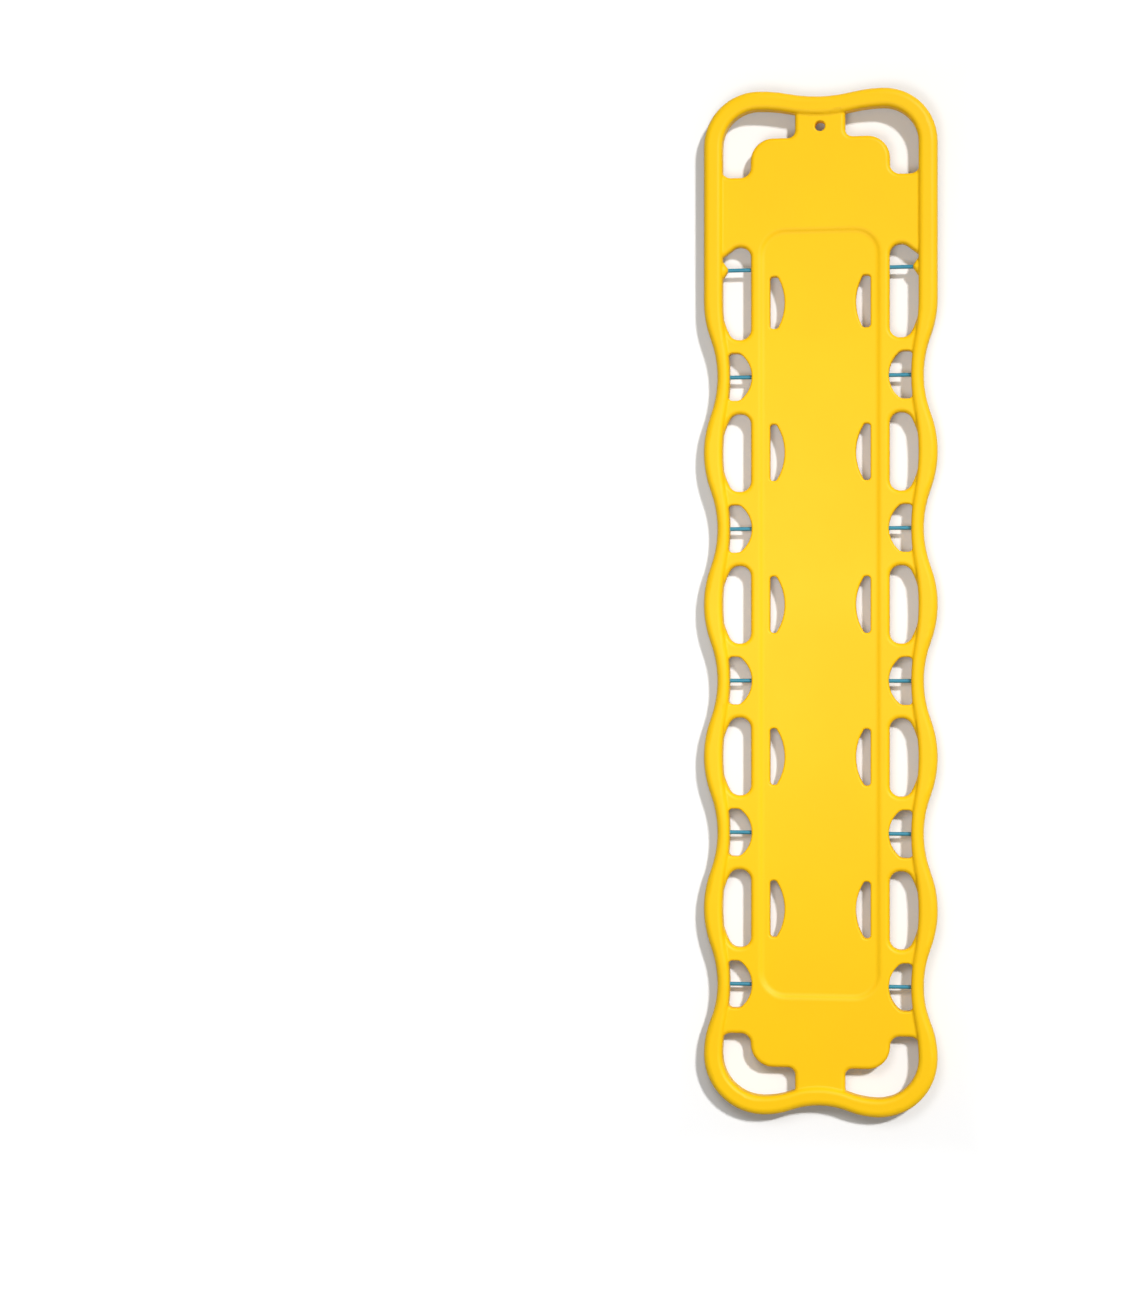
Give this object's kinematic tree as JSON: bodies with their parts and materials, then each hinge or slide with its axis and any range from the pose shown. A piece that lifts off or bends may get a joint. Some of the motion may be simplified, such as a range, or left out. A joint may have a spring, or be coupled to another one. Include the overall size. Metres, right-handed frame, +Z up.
{
  "type": "spine board",
  "caption": "Full-length yellow spine board: foam-filled moulded skin, wavy tubular rim with handholds, corner grips, strap slots, moulded-in strap pins and a hanging hole.",
  "frame": {"origin": "under the centre of the board, on the surface that its runners rest on", "axes": "+Z up through the patient side, +Y towards the head end, +X towards the board's right side as seen from above with the head end at the top"},
  "size_m": [0.416, 1.83, 0.045],
  "materials": {
    "skin": "semi-gloss moulded polyethylene",
    "foam": "rigid closed-cell foam",
    "pin": "smooth nylon",
    "rod": "pultruded glass fibre",
    "plug": "moulded polyethylene"
  },
  "bodies": {
    "root": {"board_shell": "skin", "foam_core": "foam", "fill_plug": "plug", "vent_plug": "plug", "stiffening_rod_left": "rod", "strap_pin_left_1": "pin", "strap_pin_left_2": "pin", "strap_pin_left_3": "pin", "strap_pin_left_4": "pin", "strap_pin_left_5": "pin", "strap_pin_left_6": "pin", "stiffening_rod_right": "rod", "strap_pin_right_1": "pin", "strap_pin_right_2": "pin", "strap_pin_right_3": "pin", "strap_pin_right_4": "pin", "strap_pin_right_5": "pin", "strap_pin_right_6": "pin"}
  },
  "joints": []
}
